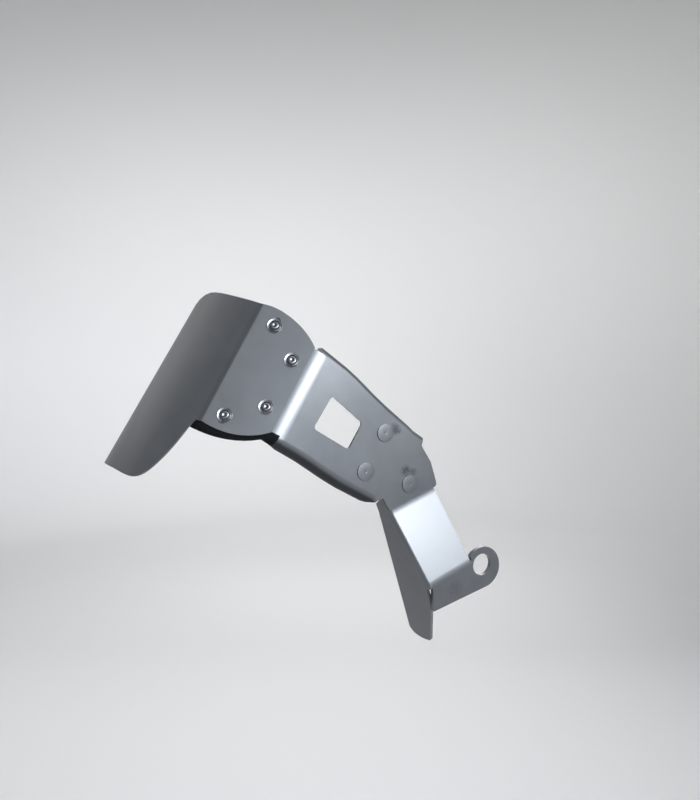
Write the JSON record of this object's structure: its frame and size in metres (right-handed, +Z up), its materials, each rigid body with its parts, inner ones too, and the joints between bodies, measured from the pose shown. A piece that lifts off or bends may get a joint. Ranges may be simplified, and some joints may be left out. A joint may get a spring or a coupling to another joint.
{
  "type": "motorcycle rear fender",
  "caption": "Side-mounted rear fender: a folded plate on the wheel axle carries a pressed arm with a window and an arched blade over the tyre.",
  "frame": {"origin": "centre of the axle hole on the inner face of the axle plate, the face that lies against the swingarm", "axes": "+X outward along the axle to the bike's right, +Y to the front of the bike, +Z up with the bike standing"},
  "size_m": [0.2106, 0.3474, 0.3346],
  "materials": {
    "satin_black_coat": "satin powder coat",
    "satin_grey_coat": "satin powder coat, slightly duller",
    "stainless_steel": "bright turned steel",
    "zinc_plated_steel": "zinc plate"
  },
  "bodies": {
    "root": {"axle_bracket": "satin_black_coat", "arm": "satin_black_coat", "fender_blade": "satin_grey_coat", "fender_screw_1": "stainless_steel", "fender_washer_1": "stainless_steel", "fender_nut_1": "zinc_plated_steel", "fender_screw_2": "stainless_steel", "fender_washer_2": "stainless_steel", "fender_nut_2": "zinc_plated_steel", "fender_screw_3": "stainless_steel", "fender_washer_3": "stainless_steel", "fender_nut_3": "zinc_plated_steel", "fender_screw_4": "stainless_steel", "fender_washer_4": "stainless_steel", "fender_nut_4": "zinc_plated_steel", "arm_stud_1": "satin_black_coat", "arm_washer_1": "zinc_plated_steel", "arm_nut_1": "zinc_plated_steel", "arm_stud_2": "satin_black_coat", "arm_washer_2": "zinc_plated_steel", "arm_nut_2": "zinc_plated_steel", "arm_stud_3": "satin_black_coat", "arm_washer_3": "zinc_plated_steel", "arm_nut_3": "zinc_plated_steel"}
  },
  "joints": []
}
